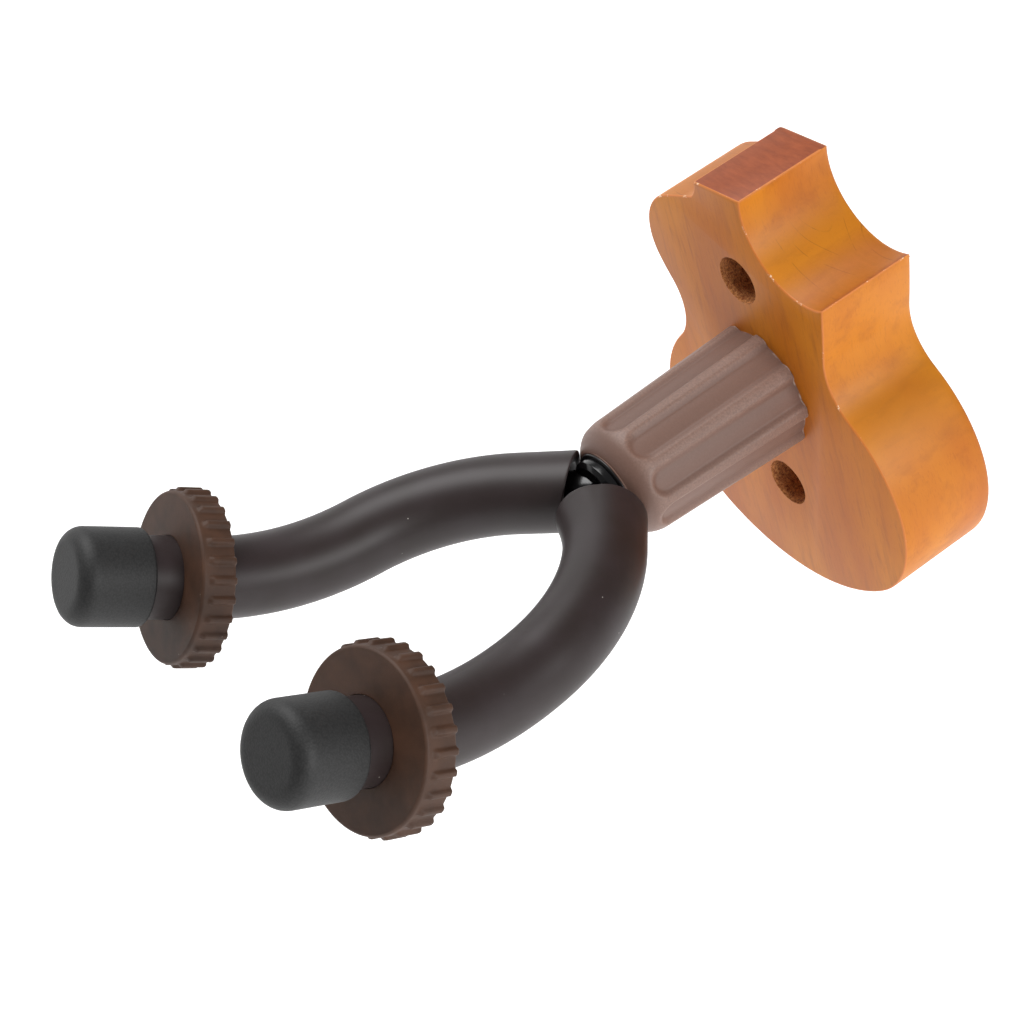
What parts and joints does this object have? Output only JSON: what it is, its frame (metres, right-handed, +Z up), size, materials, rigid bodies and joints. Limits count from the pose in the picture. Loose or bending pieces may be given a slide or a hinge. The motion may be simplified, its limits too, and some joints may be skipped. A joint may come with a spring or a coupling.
{
  "type": "wall guitar hanger",
  "caption": "Wall hanger for a guitar: a wooden guitar-shaped plate, a fluted barrel and a swivelling padded fork with ribbed stop rings and end caps.",
  "frame": {"origin": "where the barrel's axis meets the wall, midway between the two screw holes", "axes": "+Z up, +Y into the wall, -Y out from the wall along the barrel, +X to the viewer's right"},
  "size_m": [0.1142, 0.1762, 0.1034],
  "materials": {
    "wood": "orange-stained satin lacquer",
    "barrel_plastic": "fine-grained moulded taupe brown",
    "bushing_plastic": "moulded, self-lubricating",
    "zinc_steel": "zinc plated",
    "nylon": "natural nylon",
    "black_metal": "gloss black",
    "sleeve_rubber": "satin, very dark brown",
    "ring_rubber": "satin brown",
    "cap_rubber": "fine pebble texture, charcoal"
  },
  "bodies": {
    "wall_mount": {"base_plate": "wood", "barrel": "barrel_plastic", "spacer_tube": "zinc_steel", "front_bushing": "bushing_plastic", "rear_bushing": "bushing_plastic", "rear_washer": "zinc_steel", "wave_washer": "zinc_steel"},
    "yoke": {"shank": "black_metal", "yoke_hub": "black_metal", "lock_nut": "zinc_steel", "nut_insert": "nylon", "arm_rod_left": "black_metal", "arm_rod_right": "black_metal", "sleeve_left": "sleeve_rubber", "sleeve_right": "sleeve_rubber", "end_cap_left": "cap_rubber", "end_cap_right": "cap_rubber"},
    "ring_left": {"stop_ring_left": "ring_rubber"},
    "ring_right": {"stop_ring_right": "ring_rubber"}
  },
  "joints": [
    {"name": "yoke_swivel", "type": "hinge", "parent": "wall_mount", "child": "yoke", "pos_m": [0, -0.0692, 0], "axis": [0, -1, 0], "continuous": true},
    {"name": "ring_left_slide", "type": "slide", "parent": "yoke", "child": "ring_left", "axis": [-0.1154, -0.8317, 0.5432], "range_m": [0, 0.0055]},
    {"name": "ring_right_slide", "type": "slide", "parent": "yoke", "child": "ring_right", "axis": [0.1154, -0.8317, 0.5432], "range_m": [0, 0.0055]}
  ]
}
